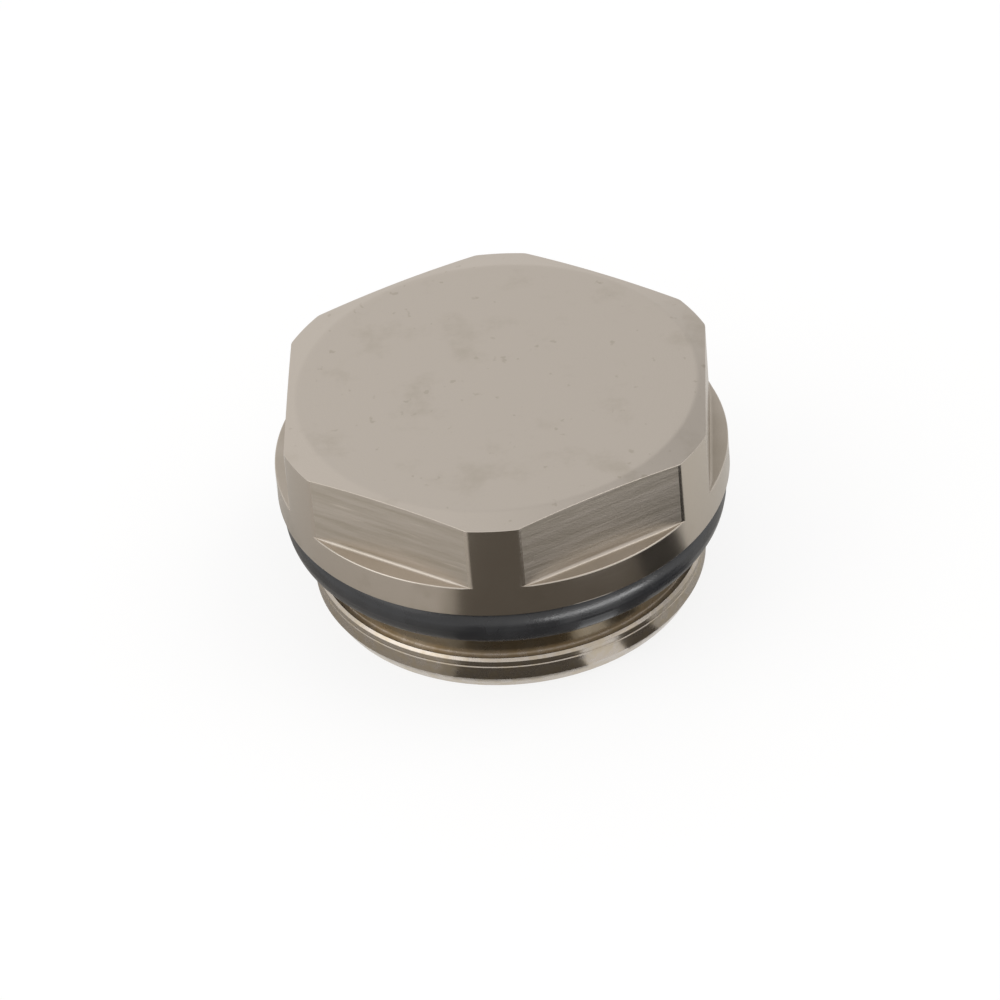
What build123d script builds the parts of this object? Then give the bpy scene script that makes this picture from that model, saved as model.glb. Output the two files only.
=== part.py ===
from build123d import *
from math import radians, tan
import os

# Blanking plug: a turned brass plug with a milled hexagon head, and the rubber O-ring under its collar.
# Millimetres. The origin is the centre of the spigot's end face, and +Z runs up the axis to the head.
# Two of the six flats face +X and -X, so one corner of the hexagon points along -Y.

# Spigot: guide land, neck and ring groove
land_diameter = 20.9
land_height = 2.1
land_edge = 0.15
lead_in_length = 0.8
lead_in_depth = 0.45
neck_length = 1.6
neck_depth = 0.45
groove_depth = 0.8

# O-ring, and the room it has in its groove
ring_section = 2.5
ring_clearance = 0.05

# Round collar, which covers the ring and stands out a little past it
collar_overhang = 0.25
collar_height = 1.85
collar_edge = 0.1

# Hexagon head, milled out of the collar's round bar, which is left as a ledge under each flat
flat_count = 6
ledge_width = 1.0
head_height = 4.0
flat_root_radius = 0.3
top_chamfer_width = 1.4
top_chamfer_angle = 10.0

# Hollow in the spigot's end
spigot_wall = 1.7
web_thickness = 5.6
hollow_corner = 0.8
hollow_mouth = 0.4

# How far a cutter reaches past the metal that it takes away
cutter_overrun = 1.0

# Radii that follow from the sizes above, from the land inward and then out to the collar
land_radius = land_diameter / 2
end_radius = land_radius - lead_in_depth
neck_radius = land_radius - neck_depth
groove_radius = neck_radius - groove_depth
hollow_radius = groove_radius - spigot_wall
ring_outer_radius = groove_radius + ring_clearance + ring_section
collar_radius = ring_outer_radius + collar_overhang
top_radius = collar_radius - top_chamfer_width

# The flats come to 22 mm across, which is a standard spanner size
across_flats = 2 * (collar_radius - ledge_width)
flat_distance = across_flats / 2

# Heights above the end face that follow from the sizes above
groove_width = ring_section + 2 * ring_clearance
groove_base = land_height + neck_length
collar_base = groove_base + groove_width
ledge_top = collar_base + collar_height
head_top = ledge_top + head_height
rim_height = head_top - top_chamfer_width * tan(radians(top_chamfer_angle))
hollow_depth = head_top - web_thickness

STANDING = (Align.CENTER, Align.CENTER, Align.MIN)


def turned_blank():
    """The round blank as it leaves the lathe, before its flats and its hollow."""
    spigot_side = Polyline(
        (0, 0),
        (end_radius, 0),
        (land_radius, lead_in_length),
        (land_radius, land_height - land_edge),
        (land_radius - land_edge, land_height),
        (neck_radius, land_height),
        (neck_radius, groove_base),
        (groove_radius, groove_base),
        (groove_radius, collar_base),
    )
    head_side = Polyline(
        (groove_radius, collar_base),
        (collar_radius - collar_edge, collar_base),
        (collar_radius, collar_base + collar_edge),
        (collar_radius, rim_height),
        (top_radius, head_top),
        (0, head_top),
        (0, 0),
    )
    half_section = Plane.XZ * make_face(spigot_side + head_side)
    return revolve(half_section, Axis.Z)


def flat_cutter():
    """What the mill takes away at the +X flat: a bar whose lower inner edge leaves a small root radius."""
    bar = Box(
        ledge_width + cutter_overrun,
        2 * collar_radius,
        head_height + cutter_overrun,
        align=(Align.MIN, Align.CENTER, Align.MIN),
    )
    root_edge = bar.edges().filter_by(Axis.Y).sort_by(lambda edge: edge.center().X + edge.center().Z)[0]
    bar = fillet(root_edge, flat_root_radius)
    return Pos(flat_distance, 0, ledge_top) * bar


def end_hollow():
    """The blind hollow in the spigot's end, with chamfers round its floor and its mouth."""
    bore = Cylinder(hollow_radius, hollow_depth, align=STANDING)
    bore = chamfer(bore.edges().sort_by(Axis.Z)[-1], hollow_corner)
    mouth = Cone(hollow_radius + hollow_mouth, hollow_radius, hollow_mouth, align=STANDING)
    return bore + mouth


def plug_body():
    """The whole brass plug, in one piece."""
    body = turned_blank() - end_hollow()
    for flat in PolarLocations(0, flat_count):
        body -= flat * flat_cutter()
    return body


def o_ring():
    """The rubber ring, which lies in its groove close under the collar."""
    section_radius = ring_section / 2
    middle_radius = ring_outer_radius - section_radius
    middle_height = collar_base - ring_clearance - section_radius
    return Pos(0, 0, middle_height) * Torus(middle_radius, section_radius)


os.makedirs("parts", exist_ok=True)
export_step(plug_body(), "parts/plug_body.step")
export_step(o_ring(), "parts/o_ring.step")
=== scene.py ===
from math import acos, atan2, cos, pi, radians, sin, sqrt, tan

import bmesh
import bpy
from mathutils import Matrix, Vector


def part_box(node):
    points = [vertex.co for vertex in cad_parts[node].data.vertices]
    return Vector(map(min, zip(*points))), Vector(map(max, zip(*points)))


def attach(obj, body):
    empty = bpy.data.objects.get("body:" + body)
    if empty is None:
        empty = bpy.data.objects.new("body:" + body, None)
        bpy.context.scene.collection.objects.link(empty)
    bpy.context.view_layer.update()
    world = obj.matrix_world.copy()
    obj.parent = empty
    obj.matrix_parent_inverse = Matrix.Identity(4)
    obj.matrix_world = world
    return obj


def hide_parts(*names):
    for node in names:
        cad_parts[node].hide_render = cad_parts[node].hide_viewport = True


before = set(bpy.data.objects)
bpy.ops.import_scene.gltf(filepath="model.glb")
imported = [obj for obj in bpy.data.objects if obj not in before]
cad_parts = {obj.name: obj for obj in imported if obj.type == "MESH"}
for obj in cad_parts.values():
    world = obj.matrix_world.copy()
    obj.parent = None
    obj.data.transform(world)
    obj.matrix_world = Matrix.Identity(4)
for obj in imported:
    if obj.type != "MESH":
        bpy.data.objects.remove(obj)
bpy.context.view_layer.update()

# Blanking plug: nickel plated brass with a milled hexagon head, and the rubber O-ring under its collar.
# Sizes are in millimetres in the frame of the solids, and MM turns them into Blender's metres.
MM = 0.001
body_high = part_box("plug_body")[1]
ring_low, ring_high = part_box("o_ring")

# Head and collar
collar_radius = body_high[0] / MM
head_top = body_high[2] / MM
ledge_width = 1.0
flat_count = 6
head_height = 4.0
top_chamfer_width = 1.4
top_chamfer_angle = radians(10)
collar_height = 1.85
flat_distance = collar_radius - ledge_width
top_radius = collar_radius - top_chamfer_width
ledge_top = head_top - head_height
collar_base = ledge_top - collar_height

# Spigot
land_radius = 10.45
land_height = 2.1
land_edge = 0.15
lead_in_length = 0.8
lead_in_depth = 0.45
neck_length = 1.6
neck_radius = 10.0
groove_radius = 9.2
end_radius = land_radius - lead_in_depth
groove_base = land_height + neck_length
scribed_drop = 0.47
scribed_width = 0.16
scribed_depth = 0.04

# Hollow in the spigot's end
hollow_radius = 7.5
hollow_depth = 6.55
hollow_corner = 0.8
hollow_mouth = 0.4

# Small rounds that the polishing and plating leave on the edges
crown_round = 1.5
rim_round = 0.03
corner_round = 0.7
root_round = 0.18
ledge_round = 0.07
collar_round = 0.1
fine_round = 0.06
inner_round = 0.012

# How finely the runs of the half section, its rounds and the circle are divided
TOP_PARTS = 8
CHAMFER_PARTS = 2
FLAT_PARTS = 4
LEDGE_PARTS = 2
COLLAR_PARTS = 3
SPIGOT_PARTS = 2
HOLLOW_PARTS = 4
ROUND_STEPS = 5
ROUND_POINTS = ROUND_STEPS + 3
FLAT_STEPS = 14
CORNER_STEPS = 4
STRIP_STEPS = 3

# A round takes up at most this share of a run, and is held by points this share of its reach away
LARGEST_SHARE = 0.4
HOLDING_SHARE = 0.15

# A run shorter than this has no room for a round, and points closer than this become one
shortest_run = 1e-6
merge_distance = 0.0005

# O-ring
ring_section_radius = (ring_high[2] - ring_low[2]) / 2 / MM
ring_middle_radius = ring_high[0] / MM - ring_section_radius
ring_middle_height = (ring_high[2] + ring_low[2]) / 2 / MM
flash_height = 0.025
flash_width = 0.1
RING_STEPS = 240
SECTION_STEPS = 72

# View, fitted to the photograph's 1000 pixel frame
picture_size = 1000
axis_pixel = (503.5, 472.7)
axis_point_height = 6.3
pixels_per_mm = 18.88
view_elevation = radians(38.22)
view_turn = radians(4.18)
view_roll = radians(-5.06)
camera_distance = 357.1
near_clip_share = 0.1
sensor_width = 36.0

# Light. Directions are as the camera sees them: to the right, away from it and up
sky_strength = 0.95
right_dip = ((0.8, 0.08, 0.6), radians(30), radians(14), 0.45)
chamfer_dip = ((0.42, 0.57, 0.7), radians(32), radians(9), 0.42)
box_distance = 450.0
key_side = (0.52, 0.05, 0.85)
key_size = (260.0, 260.0)
key_radiance = 1.7
fill_side = (-0.72, -0.28, 0.63)
fill_size = (340.0, 340.0)
fill_radiance = 1.1
sheen_side = (0.62, -0.77, 0.12)
sheen_size = (400.0, 70.0)
sheen_radiance = 12.0

# Floor, and the cards on it that paint reflections into the plug's gloss, by angles to the right of the
# camera's side and distances from the axis
floor_reach = 2000.0
floor_glow = 0.8
floor_drop = 0.02
card_lift = 0.1
card_inner = 10.3
card_outer = 30.0
left_start = radians(-120)
half_start = radians(-26)
dark_start = radians(-21)
black_start = radians(48)
black_end = radians(69)
right_end = radians(120)
dark_outer = 80.0
dark_turn = radians(21)
dark_right_outer = 26.5
gap_start = radians(21)
gap_end = radians(34.5)
gap_reach = 15.5
black_inner = 13.0
black_outer = 32.0
CARD_STEPS = 182


class Corner:
    """A corner of a half section: its place, its round, and how many parts the run up to it has."""

    def __init__(self, radius, height, rounding=0.0, parts=1):
        self.place = Vector((radius, height))
        self.rounding = rounding
        self.parts = parts


def rounded_corner(before, corner, after):
    """The points of a small round in place of a corner, with a point close by on each run to hold it."""
    place = corner.place
    run_in = before.place - place
    run_out = after.place - place
    shorter = min(run_in.length, run_out.length)
    if shorter < shortest_run:
        return [place.copy() for _ in range(ROUND_POINTS)]
    half_angle = run_in.angle(run_out) / 2
    reach = min(corner.rounding / tan(half_angle), LARGEST_SHARE * shorter)
    radius = reach * tan(half_angle)
    to_middle = (run_in.normalized() + run_out.normalized()).normalized()
    middle = place + to_middle * (radius / sin(half_angle))
    start = place + run_in.normalized() * reach - middle
    finish = place + run_out.normalized() * reach - middle
    turn = start.angle(finish)
    if start.cross(finish) < 0:
        turn = -turn
    arc = []
    for step in range(ROUND_STEPS + 1):
        arc.append(middle + Matrix.Rotation(turn * step / ROUND_STEPS, 2) @ start)
    holding = HOLDING_SHARE * reach
    first = arc[0] + run_in.normalized() * holding
    last = arc[-1] + run_out.normalized() * holding
    return [first] + arc + [last]


def outline(corners):
    """A half section as a line of points, with the same number of points at every angle round the axis."""
    points = [corners[0].place.copy()]
    for before, corner, after in zip(corners, corners[1:], corners[2:] + corners[-1:]):
        ends = [corner.place.copy()]
        if corner.rounding:
            ends = rounded_corner(before, corner, after)
        start = points[-1]
        for part in range(1, corner.parts):
            points.append(start.lerp(ends[0], part / corner.parts))
        points.extend(ends)
    return points


# Angles from the middle of a flat to where the small round at its corner ends and begins
corner_angle = acos((flat_distance - corner_round) / (collar_radius - corner_round))
flat_end_angle = atan2((collar_radius - corner_round) * sin(corner_angle), flat_distance)
half_sector = pi / flat_count


def face_radius(angle):
    """How far the head's side is from the axis, at an angle from the middle of a flat."""
    if abs(angle) <= flat_end_angle:
        return flat_distance / cos(angle)
    if abs(angle) >= corner_angle:
        return collar_radius
    middle_distance = collar_radius - corner_round
    off = abs(angle) - corner_angle
    across = middle_distance * sin(off)
    return middle_distance * cos(off) + sqrt(corner_round ** 2 - across ** 2)


def head_corners(angle):
    """The half section of the head and collar, from the top's middle down to the collar's lower edge."""
    side = face_radius(angle)
    rim = head_top - (side - top_radius) * tan(top_chamfer_angle)
    return [
        Corner(0, head_top),
        Corner(top_radius, head_top, crown_round, parts=TOP_PARTS),
        Corner(side, rim, rim_round, parts=CHAMFER_PARTS),
        Corner(side, ledge_top, root_round, parts=FLAT_PARTS),
        Corner(collar_radius, ledge_top, ledge_round, parts=LEDGE_PARTS),
        Corner(collar_radius, collar_base, collar_round, parts=COLLAR_PARTS),
    ]


def spigot_corners():
    """The half section of the spigot, from the ring's groove round the end to the middle of the hollow."""
    scribed_height = land_height - scribed_drop
    half_width = scribed_width / 2
    return [
        Corner(groove_radius, collar_base, inner_round),
        Corner(groove_radius, groove_base, inner_round),
        Corner(neck_radius, groove_base, fine_round),
        Corner(neck_radius, land_height, inner_round, parts=SPIGOT_PARTS),
        Corner(land_radius - land_edge, land_height, fine_round),
        Corner(land_radius, land_height - land_edge, fine_round),
        Corner(land_radius, scribed_height + half_width, fine_round),
        Corner(land_radius - scribed_depth, scribed_height, fine_round),
        Corner(land_radius, scribed_height - half_width, fine_round),
        Corner(land_radius, lead_in_length, fine_round, parts=SPIGOT_PARTS),
        Corner(end_radius, 0, fine_round, parts=SPIGOT_PARTS),
        Corner(hollow_radius + hollow_mouth, 0, fine_round, parts=SPIGOT_PARTS),
        Corner(hollow_radius, hollow_mouth, fine_round),
        Corner(hollow_radius, hollow_depth - hollow_corner, fine_round, parts=HOLLOW_PARTS),
        Corner(hollow_radius - hollow_corner, hollow_depth, fine_round),
        Corner(0, hollow_depth, parts=HOLLOW_PARTS),
    ]


def sector_angles():
    """Angles from the middle of a flat across one sector of the hexagon, closer together at its corners."""
    half = [flat_end_angle * step / FLAT_STEPS for step in range(FLAT_STEPS)]
    for step in range(CORNER_STEPS):
        half.append(flat_end_angle + (corner_angle - flat_end_angle) * step / CORNER_STEPS)
    for step in range(STRIP_STEPS + 1):
        half.append(corner_angle + (half_sector - corner_angle) * step / STRIP_STEPS)
    return [-angle for angle in half[:0:-1]] + half[:-1]


def body_mesh():
    """The plug's whole surface: half sections all the way round, joined by four-sided faces."""
    vertices = []
    faces = []
    zones = []
    columns = []
    for flat in range(flat_count):
        for angle in sector_angles():
            columns.append((2 * half_sector * flat + angle, angle))
    head_points = len(outline(head_corners(0)))
    rows = 0
    for azimuth, angle in columns:
        points = outline(head_corners(angle) + spigot_corners())
        rows = len(points)
        for point in points:
            vertices.append((point.x * cos(azimuth) * MM, point.x * sin(azimuth) * MM, point.y * MM))
    for column, (azimuth, angle) in enumerate(columns):
        following = (column + 1) % len(columns)
        next_angle = columns[following][1]
        on_flat = abs(angle) <= flat_end_angle and abs(next_angle) <= flat_end_angle
        for row in range(rows - 1):
            faces.append(
                (
                    column * rows + row,
                    column * rows + row + 1,
                    following * rows + row + 1,
                    following * rows + row,
                )
            )
            zones.append(zone_of(row, on_flat, head_points))
    return vertices, faces, zones


# Finishes, and the rows of the half section at which one gives way to the next: the middles of two rounds
TOP, MILLED, TURNED, SPIGOT = range(4)
RIM_MIDDLE = TOP_PARTS + ROUND_POINTS + CHAMFER_PARTS + ROUND_STEPS // 2
LEDGE_MIDDLE = RIM_MIDDLE + 2 * ROUND_POINTS + FLAT_PARTS + LEDGE_PARTS - 2


def zone_of(row, on_flat, head_points):
    """Which finish a face has: faced top, milled flat, turned round, or the barer spigot."""
    if row < RIM_MIDDLE:
        return TOP
    if row < LEDGE_MIDDLE and on_flat:
        return MILLED
    if row < head_points:
        return TURNED
    return SPIGOT


def mesh_piece(name, vertices, faces, zones, materials):
    """A smooth mesh object with its coincident points merged."""
    mesh = bpy.data.meshes.new(name)
    mesh.from_pydata(vertices, [], faces)
    for material in materials:
        mesh.materials.append(material)
    mesh.polygons.foreach_set("material_index", zones)
    mesh.polygons.foreach_set("use_smooth", [True] * len(faces))
    work = bmesh.new()
    work.from_mesh(mesh)
    bmesh.ops.remove_doubles(work, verts=work.verts, dist=merge_distance * MM)
    bmesh.ops.recalc_face_normals(work, faces=work.faces)
    work.to_mesh(mesh)
    work.free()
    mesh.update()
    piece = bpy.data.objects.new(name, mesh)
    bpy.context.scene.collection.objects.link(piece)
    return piece


def ring_mesh():
    """The O-ring, with the fine line of flash that its mould leaves round its outside and its inside."""
    vertices = []
    faces = []
    for turn in range(RING_STEPS):
        azimuth = 2 * pi * turn / RING_STEPS
        for step in range(SECTION_STEPS):
            angle = 2 * pi * step / SECTION_STEPS
            from_line = ring_section_radius * sin(angle)
            flash = flash_height * max(0.0, 1 - abs(from_line) / flash_width)
            reach = ring_section_radius - flash_height + flash
            radius = ring_middle_radius + reach * cos(angle)
            height = ring_middle_height + ring_section_radius * sin(angle)
            vertices.append((radius * cos(azimuth) * MM, radius * sin(azimuth) * MM, height * MM))
            next_turn = (turn + 1) % RING_STEPS
            next_step = (step + 1) % SECTION_STEPS
            faces.append(
                (
                    turn * SECTION_STEPS + step,
                    next_turn * SECTION_STEPS + step,
                    next_turn * SECTION_STEPS + next_step,
                    turn * SECTION_STEPS + next_step,
                )
            )
    return vertices, faces


# Places of a Mix node's colour sockets, which share their names with its other sockets
MIX_FIRST = 6
MIX_SECOND = 7
MIX_RESULT = 2


class Shader:
    """The node tree of a material or a world, with short ways to add nodes and link them."""

    def __init__(self, owner):
        owner.use_nodes = True
        self.tree = owner.node_tree

    def put(self, socket, value):
        """Link a socket's output to an input, or set the input's own value."""
        if isinstance(value, bpy.types.NodeSocket):
            self.tree.links.new(value, socket)
        else:
            socket.default_value = value

    def node(self, kind, settings=None, **inputs):
        made = self.tree.nodes.new(kind)
        for key, value in (settings or {}).items():
            setattr(made, key, value)
        for key, value in inputs.items():
            self.put(made.inputs[key.replace("_", " ")], value)
        return made

    def surface(self, **inputs):
        """Set or link inputs of the material's surface."""
        for key, value in inputs.items():
            self.put(self.tree.nodes["Principled BSDF"].inputs[key.replace("_", " ")], value)

    def math(self, operation, first, second=0.0, third=0.0):
        made = self.node("ShaderNodeMath", {"operation": operation})
        for socket, value in zip(made.inputs, (first, second, third)):
            self.put(socket, value)
        return made.outputs[0]

    def span(self, value, low, high):
        """A value between 0 and 1, taken to the range from low to high."""
        return self.math("MULTIPLY_ADD", value, high - low, low)

    def between(self, value, low, high, from_value=0.0, to_value=1.0):
        """How far a value is from low to high, taken smoothly from one value to another."""
        made = self.node("ShaderNodeMapRange", {"interpolation_type": "SMOOTHSTEP"}, Value=value)
        names = ("From Min", "From Max", "To Min", "To Max")
        for name, number in zip(names, (low, high, from_value, to_value)):
            self.put(made.inputs[name], number)
        return made.outputs[0]

    def place(self):
        """The point's place in the plug's frame, in millimetres: as a vector, and its x, y and z."""
        scaled = self.node("ShaderNodeVectorMath", {"operation": "SCALE"}, Scale=1 / MM)
        self.put(scaled.inputs[0], self.node("ShaderNodeTexCoord").outputs["Object"])
        return scaled.outputs[0], self.node("ShaderNodeSeparateXYZ", Vector=scaled.outputs[0]).outputs

    def vector(self, x, y, z=0.0):
        return self.node("ShaderNodeCombineXYZ", X=x, Y=y, Z=z).outputs[0]

    def stretched(self, along, across, along_scale, across_scale):
        """A place for noise that is drawn out along one direction."""
        first = self.math("MULTIPLY", along, along_scale)
        second = self.math("MULTIPLY", across, across_scale)
        return self.vector(first, second)

    def length(self, vector):
        return self.node("ShaderNodeVectorMath", {"operation": "LENGTH"}, Vector=vector).outputs["Value"]

    def noise(self, vector, scale, detail=2.0, rough=0.5):
        made = self.node("ShaderNodeTexNoise", Vector=vector, Scale=scale, Detail=detail, Roughness=rough)
        return made.outputs["Fac"]

    def lines(self, along, scale, detail=3.0):
        """Noise that changes in one direction only, as tool marks do."""
        settings = {"noise_dimensions": "1D"}
        made = self.node("ShaderNodeTexNoise", settings, W=along, Scale=scale, Detail=detail)
        return made.outputs["Fac"]

    def toward(self, direction, side):
        """How nearly a direction points to a side given as the camera sees it: 1 is straight at it."""
        made = self.node("ShaderNodeVectorMath", {"operation": "DOT_PRODUCT"})
        self.put(made.inputs[0], direction)
        self.put(made.inputs[1], seen(*side).normalized())
        return made.outputs["Value"]

    def mix(self, share, first, second):
        made = self.node("ShaderNodeMix", {"data_type": "RGBA"})
        self.put(made.inputs[0], share)
        self.put(made.inputs[MIX_FIRST], first)
        self.put(made.inputs[MIX_SECOND], second)
        return made.outputs[MIX_RESULT]

    def bump(self, height, depth, below=None):
        """A bump of a depth in millimetres, over another one where that is given."""
        made = self.node("ShaderNodeBump", Height=height, Distance=depth * MM)
        if below is not None:
            self.put(made.inputs["Normal"], below)
        return made.outputs[0]


# Colours
PLATE = (0.51, 0.46, 0.405, 1)
FACED_PLATE = (0.525, 0.475, 0.42, 1)
DULL_PLATE = (0.43, 0.385, 0.325, 1)
BRIGHT_PLATE = (0.62, 0.56, 0.49, 1)
THIN_PLATE = (0.50, 0.435, 0.345, 1)
# Warm brass of the neck and the groove under the ring, darkened with painted shade
SHADED_DARK_BRASS = (0.27, 0.23, 0.175, 1)
SHADED_BRASS = (0.25, 0.195, 0.125, 1)
RUBBER = (0.012, 0.0125, 0.014, 1)
RUBBER_BLOOM = (0.02, 0.0205, 0.0225, 1)
FLOOR_WHITE = (0.95, 0.95, 0.95, 1)
# Colours of the cards that only the plug's gloss sees: painted reflections, dark in front of the plug and
# paler at its sides
CARD_HALF = (0.44, 0.42, 0.38, 1)
CARD_DARK = (0.135, 0.123, 0.107, 1)
CARD_BLACK = (0.045, 0.043, 0.04, 1)
CARD_GREY = (0.57, 0.55, 0.52, 1)
CARD_PALE = (0.73, 0.72, 0.69, 1)
SKY_WHITE = (1.0, 0.985, 0.97, 1)


def faced_top():
    """The head's turned top and chamfer: satin, with faint rings, a few dull smudges and a fine grain."""
    material = bpy.data.materials.new("nickel_faced_top")
    shader = Shader(material)
    place, (x, y, z) = shader.place()
    rings = shader.lines(shader.length(shader.vector(x, y)), scale=5.0)
    cloud = shader.noise(place, scale=0.34, detail=5.0, rough=0.62)
    smudges = shader.between(cloud, low=0.52, high=0.76, to_value=0.6)
    dots = shader.noise(place, scale=1.6, detail=2.0)
    specks = shader.between(dots, low=0.68, high=0.76, to_value=0.8)
    grain = shader.noise(place, scale=9.0, detail=3.0)
    grain_bump = shader.bump(grain, depth=0.004)
    shader.surface(
        Metallic=1.0,
        Base_Color=shader.mix(shader.math("MAXIMUM", smudges, specks), FACED_PLATE, DULL_PLATE),
        Roughness=shader.span(grain, low=0.27, high=0.37),
        Normal=shader.bump(rings, depth=0.002, below=grain_bump),
    )
    return material


def milled_flat():
    """The hexagon's flats: satin, with the soft streaks and few bright scratches that the cutter left."""
    material = bpy.data.materials.new("nickel_milled_flat")
    shader = Shader(material)
    place, (x, y, z) = shader.place()
    azimuth = shader.math("ARCTAN2", x, shader.math("MULTIPLY", y, -1.0))
    along = shader.math("MULTIPLY", azimuth, flat_distance)
    wide = shader.stretched(along, z, along_scale=0.16, across_scale=2.6)
    streaks = shader.noise(wide, scale=1.0, detail=4.0, rough=0.6)
    fine = shader.stretched(along, z, along_scale=0.3, across_scale=5.0)
    scratches = shader.between(shader.noise(fine, scale=1.0, detail=1.0), low=0.66, high=0.8, to_value=0.7)
    streaked = shader.mix(shader.between(streaks, low=0.3, high=0.7), DULL_PLATE, PLATE)
    grain = shader.noise(place, scale=7.0, detail=2.0)
    grain_bump = shader.bump(grain, depth=0.006)
    shader.surface(
        Metallic=1.0,
        Base_Color=shader.mix(scratches, streaked, BRIGHT_PLATE),
        Roughness=shader.span(streaks, low=0.36, high=0.50),
        Normal=shader.bump(streaks, depth=0.02, below=grain_bump),
    )
    return material


def turned_round():
    """The collar, its ledges and the corner strips: brighter turned metal with fine rings."""
    material = bpy.data.materials.new("nickel_turned")
    shader = Shader(material)
    place, (x, y, z) = shader.place()
    rings = shader.lines(z, scale=3.5, detail=1.0)
    cloud = shader.noise(place, scale=0.4, detail=4.0)
    shader.surface(
        Metallic=1.0,
        Base_Color=shader.mix(shader.between(cloud, low=0.55, high=0.8), PLATE, DULL_PLATE),
        Roughness=shader.span(cloud, low=0.16, high=0.30),
        Normal=shader.bump(rings, depth=0.004),
    )
    return material


def turned_spigot():
    """The spigot: coarser rings, a land that is thinly plated, and a neck of warm brass darkened with
    painted shade.
    """
    material = bpy.data.materials.new("nickel_spigot")
    shader = Shader(material)
    place, (x, y, z) = shader.place()
    rings = shader.lines(z, scale=4.0, detail=1.0)
    cloud = shader.noise(place, scale=0.6, detail=4.0)
    mottle = shader.noise(place, scale=1.8, detail=3.0, rough=0.6)
    plated = shader.mix(shader.between(mottle, low=0.4, high=0.65), PLATE, THIN_PLATE)
    # Above the land, the neck and groove take warm brass darkened as painted shade, in place of the plating
    shaded_brass = shader.mix(shader.between(cloud, low=0.35, high=0.7), SHADED_DARK_BRASS, SHADED_BRASS)
    neck = shader.between(z, low=land_height, high=land_height + land_edge)
    mottle_bump = shader.bump(mottle, depth=0.015)
    shader.surface(
        Metallic=1.0,
        Base_Color=shader.mix(neck, plated, shaded_brass),
        Roughness=shader.span(mottle, low=0.18, high=0.40),
        Normal=shader.bump(rings, depth=0.01, below=mottle_bump),
    )
    return material


def black_rubber():
    """Moulded rubber: near black with a soft sheen, a faint bloom and a fine grain."""
    material = bpy.data.materials.new("black_rubber_moulded")
    shader = Shader(material)
    place = shader.place()[0]
    bloom = shader.between(shader.noise(place, scale=0.5, detail=4.0), low=0.35, high=0.75)
    grain = shader.noise(place, scale=12.0, detail=2.0)
    shader.surface(
        Base_Color=shader.mix(bloom, RUBBER, RUBBER_BLOOM),
        Roughness=shader.span(bloom, low=0.24, high=0.34),
        Normal=shader.bump(grain, depth=0.006),
    )
    return material


def plain_material(name, colour):
    """A matt material of one colour."""
    material = bpy.data.materials.new(name)
    Shader(material).surface(Base_Color=colour, Roughness=1.0, Specular_IOR_Level=0.0)
    return material


def stage_piece(name, points, faces, material):
    """A mesh of the stage, which is no part of the plug."""
    mesh = bpy.data.meshes.new(name)
    mesh.from_pydata([Vector(point) * MM for point in points], [], faces)
    mesh.materials.append(material)
    piece = bpy.data.objects.new(name, mesh)
    bpy.context.scene.collection.objects.link(piece)
    return piece


def pale_floor():
    """White paper. Part of what the camera and the plug's gloss see of it is plain white."""
    material = plain_material("pale_floor", FLOOR_WHITE)
    shader = Shader(material)
    rays = shader.node("ShaderNodeLightPath").outputs
    seen_rays = shader.math("MAXIMUM", rays["Is Camera Ray"], rays["Is Glossy Ray"])
    seen_rays = shader.math("MAXIMUM", seen_rays, rays["Is Transmission Ray"])
    white = shader.node("ShaderNodeEmission", Strength=1.0)
    mixed = shader.node("ShaderNodeMixShader", Fac=shader.math("MULTIPLY", seen_rays, floor_glow))
    lit_input, white_input = mixed.inputs[1:]
    shader.put(lit_input, shader.tree.nodes["Principled BSDF"].outputs[0])
    shader.put(white_input, white.outputs[0])
    shader.put(shader.tree.nodes["Material Output"].inputs["Surface"], mixed.outputs[0])
    return material


def floor():
    """A wide floor, a hair under the plug's end so that the two don't share a plane."""
    corners = [(-floor_reach, -floor_reach, -floor_drop), (floor_reach, -floor_reach, -floor_drop)]
    corners += [(floor_reach, floor_reach, -floor_drop), (-floor_reach, floor_reach, -floor_drop)]
    stage_piece("floor", corners, [(0, 1, 2, 3)], pale_floor())


def seen(right, away, up):
    """A direction given as the camera sees it, in the plug's frame."""
    level_right = Vector((cos(view_turn), sin(view_turn), 0))
    level_away = Vector((-sin(view_turn), cos(view_turn), 0))
    return level_right * right + level_away * away + Vector((0, 0, up))


def dark_near(angle):
    """The dark card's near edge, which leaves a gap of pale floor beside the spigot."""
    return gap_reach if gap_start < angle < gap_end else card_inner


def dark_far(angle):
    """The dark card's far edge: the flat on the right sees past it to the pale floor."""
    return dark_outer if angle < dark_turn else dark_right_outer


def steady(distance):
    """A card's edge that stays at one distance from the axis."""
    return lambda angle: distance


def floor_card(name, colour, start, end, near, far):
    """A card on the floor round part of the plug, between two edges, which only the plug's gloss sees: a
    painted reflection.
    """
    lift = Vector((0, 0, card_lift))
    points = []
    for step in range(CARD_STEPS + 1):
        angle = start + (end - start) * step / CARD_STEPS
        outward = seen(sin(angle), -cos(angle), 0)
        points.append(outward * near(angle) + lift)
        points.append(outward * far(angle) + lift)
    faces = [(2 * step, 2 * step + 1, 2 * step + 3, 2 * step + 2) for step in range(CARD_STEPS)]
    card = stage_piece(name, points, faces, plain_material(name, colour))
    card.visible_camera = False
    card.visible_diffuse = False
    card.visible_shadow = False


def cards():
    """Cards that paint reflections into the plug's gloss: dark ones in front of it, and paler ones at its
    sides.
    """
    inner = steady(card_inner)
    outer = steady(card_outer)
    black_near = steady(black_inner)
    floor_card("left_card", CARD_GREY, left_start, half_start, inner, outer)
    floor_card("half_card", CARD_HALF, half_start, dark_start, inner, outer)
    floor_card("dark_card", CARD_DARK, dark_start, black_start, dark_near, dark_far)
    floor_card("black_card", CARD_BLACK, black_start, black_end, black_near, steady(black_outer))
    floor_card("land_card", CARD_PALE, black_start, black_end, inner, black_near)
    floor_card("right_card", CARD_PALE, black_end, right_end, inner, outer)


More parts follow.
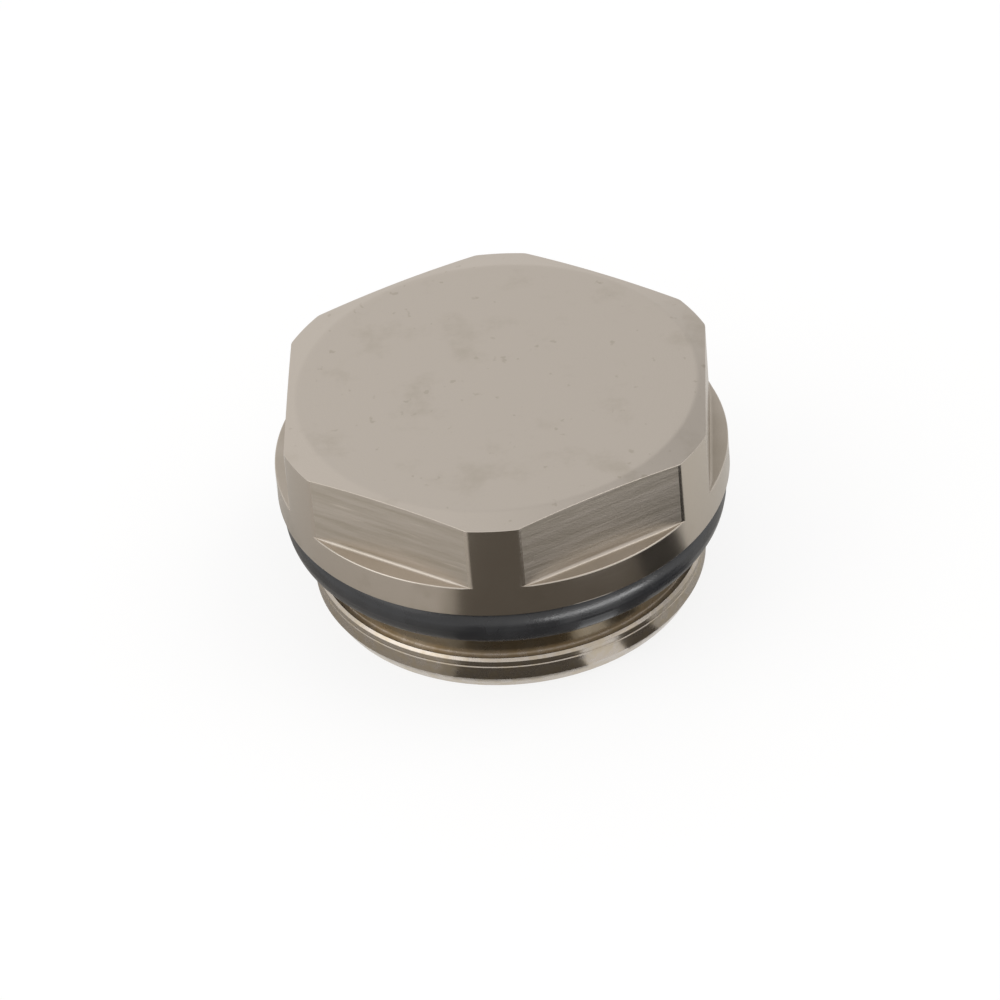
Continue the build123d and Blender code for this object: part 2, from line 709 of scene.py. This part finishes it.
def camera():
    """The camera, rolled a little as the photograph is, with the plug's axis on its pixel."""
    back = seen(0, -cos(view_elevation), sin(view_elevation))
    level_right = seen(1, 0, 0)
    level_up = back.cross(level_right)
    right = level_right * cos(view_roll) + level_up * sin(view_roll)
    up = level_up * cos(view_roll) - level_right * sin(view_roll)
    half = picture_size / 2
    aim = Vector((0, 0, axis_point_height))
    aim += right * ((half - axis_pixel[0]) / pixels_per_mm)
    aim += up * ((axis_pixel[1] - half) / pixels_per_mm)
    lens = bpy.data.cameras.new("camera")
    lens.sensor_width = sensor_width
    lens.lens = pixels_per_mm * camera_distance * sensor_width / picture_size
    lens.clip_start = near_clip_share * camera_distance * MM
    made = bpy.data.objects.new("camera", lens)
    turned = Matrix((right, up, back)).transposed().to_4x4()
    made.matrix_world = Matrix.Translation((aim + back * camera_distance) * MM) @ turned
    bpy.context.scene.collection.objects.link(made)
    bpy.context.scene.camera = made


def soft_box(name, direction, size, radiance):
    """A soft box that faces the plug from a direction given as the camera sees it."""
    lamp = bpy.data.lights.new(name, "AREA")
    lamp.shape = "RECTANGLE"
    lamp.size = size[0] * MM
    lamp.size_y = size[1] * MM
    lamp.energy = radiance * pi * lamp.size * lamp.size_y
    outward = seen(*direction).normalized()
    made = bpy.data.objects.new(name, lamp)
    made.location = outward * box_distance * MM
    made.rotation_euler = outward.to_track_quat("Z", "Y").to_euler()
    bpy.context.scene.collection.objects.link(made)
    return made


def ring_sheen(piece):
    """A low soft box that lights the ring alone, for the sheen on its right."""
    receivers = bpy.data.collections.new("sheen_receivers")
    receivers.objects.link(piece)
    box = soft_box("sheen_box", sheen_side, sheen_size, sheen_radiance)
    box.light_linking.receiver_collection = receivers


def sky():
    """Soft light from all round, dimmer on the right and at one place behind the plug."""
    world = bpy.data.worlds.new("studio")
    shader = Shader(world)
    direction = shader.node("ShaderNodeTexCoord").outputs["Generated"]
    dimming = 0.0
    for side, start, full, depth in (right_dip, chamfer_dip):
        dip = shader.between(shader.toward(direction, side), low=cos(start), high=cos(full), to_value=depth)
        dimming = shader.math("MAXIMUM", dimming, dip)
    background = shader.tree.nodes["Background"]
    background.inputs["Color"].default_value = SKY_WHITE
    shader.put(background.inputs["Strength"], shader.math("SUBTRACT", sky_strength, dimming))
    bpy.context.scene.world = world


body_materials = [faced_top(), milled_flat(), turned_round(), turned_spigot()]
body = mesh_piece("plated_body", *body_mesh(), body_materials)
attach(body, "root")
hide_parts("plug_body")

ring_vertices, ring_faces = ring_mesh()
ring = mesh_piece("rubber_ring", ring_vertices, ring_faces, [0] * len(ring_faces), [black_rubber()])
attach(ring, "root")
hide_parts("o_ring")

floor()
cards()
soft_box("key_box", key_side, key_size, key_radiance)
soft_box("fill_box", fill_side, fill_size, fill_radiance)
ring_sheen(ring)
sky()
camera()
bpy.context.scene.view_settings.view_transform = "Standard"
